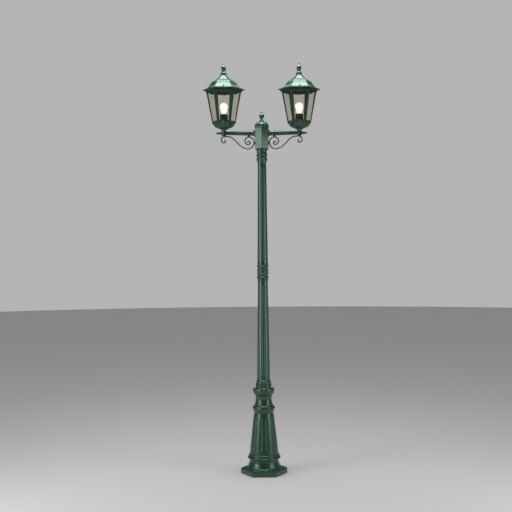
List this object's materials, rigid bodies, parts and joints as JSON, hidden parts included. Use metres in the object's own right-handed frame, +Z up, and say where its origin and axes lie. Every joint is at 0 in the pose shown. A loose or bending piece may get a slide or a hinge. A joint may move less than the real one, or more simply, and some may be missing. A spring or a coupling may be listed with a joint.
{
  "type": "street lamp post",
  "caption": "Tall green lamp post with a six-sided foot, fluted pedestal and column, and glazed six-sided lanterns on scrolled bracket arms.",
  "frame": {"origin": "centre of the foot on the floor", "axes": "+Z up, +X towards the right-hand lantern, +Y to the back"},
  "size_m": [0.6306, 0.2166, 2.2],
  "materials": {
    "green_paint": "satin",
    "bright_steel": "polished",
    "zinc_steel": "zinc plated",
    "dark_screw": "satin",
    "terminal_plastic": "matte",
    "brass": "plain",
    "lead_sheath": "matte",
    "clear_glass": "clear",
    "black_bakelite": "satin",
    "lamp_cap": "bright",
    "frosted_glass": "frosted",
    "filament": "plain"
  },
  "bodies": {
    "post": {"arm_left": "green_paint", "arm_nuts": "zinc_steel", "arm_right": "green_paint", "bridge_screws": "zinc_steel", "cage_left": "green_paint", "cage_right": "green_paint", "collar_casting": "green_paint", "collar_set_screws": "bright_steel", "column_base_ring": "green_paint", "cup_left": "green_paint", "cup_right": "green_paint", "flange_bolts": "zinc_steel", "foot_casting": "green_paint", "frets_left": "green_paint", "frets_right": "green_paint", "head_box": "green_paint", "head_box_screws": "zinc_steel", "head_bridge": "zinc_steel", "head_cap": "green_paint", "head_finial": "green_paint", "head_stud": "zinc_steel", "lamp_lead_left": "lead_sheath", "lamp_lead_right": "lead_sheath", "lampholder_body_left": "black_bakelite", "lampholder_body_right": "black_bakelite", "lampholder_cap_left": "black_bakelite", "lampholder_cap_right": "black_bakelite", "lampholder_contacts_left": "brass", "lampholder_contacts_right": "brass", "lower_column": "green_paint", "mid_coupling": "green_paint", "neck_casting": "green_paint", "panes_left": "clear_glass", "panes_right": "clear_glass", "pedestal_casting": "green_paint", "scroll_left": "green_paint", "scroll_right": "green_paint", "scroll_screws_left": "zinc_steel", "scroll_screws_right": "zinc_steel", "stem_left": "zinc_steel", "stem_nut_left": "zinc_steel", "stem_nut_right": "zinc_steel", "stem_right": "zinc_steel", "terminal_block": "terminal_plastic", "terminal_screws": "brass", "upper_column": "green_paint"},
    "roof_left": {"roof_left": "green_paint", "roof_screws_left": "dark_screw", "roof_finial_left": "green_paint", "roof_nut_left": "zinc_steel"},
    "bulb_left": {"bulb_cap_left": "lamp_cap", "bulb_glass_left": "frosted_glass", "bulb_filament_left": "filament"},
    "roof_right": {"roof_right": "green_paint", "roof_screws_right": "dark_screw", "roof_finial_right": "green_paint", "roof_nut_right": "zinc_steel"},
    "bulb_right": {"bulb_cap_right": "lamp_cap", "bulb_glass_right": "frosted_glass", "bulb_filament_right": "filament"}
  },
  "joints": [
    {"name": "roof_left_lift", "type": "slide", "parent": "post", "child": "roof_left", "axis": [0, 0, 1], "range_m": [0, 0.12]},
    {"name": "bulb_left_unscrew", "type": "slide", "parent": "post", "child": "bulb_left", "axis": [0, 0, 1], "range_m": [0, 0.028]},
    {"name": "roof_right_lift", "type": "slide", "parent": "post", "child": "roof_right", "axis": [0, 0, 1], "range_m": [0, 0.12]},
    {"name": "bulb_right_unscrew", "type": "slide", "parent": "post", "child": "bulb_right", "axis": [0, 0, 1], "range_m": [0, 0.028]}
  ]
}
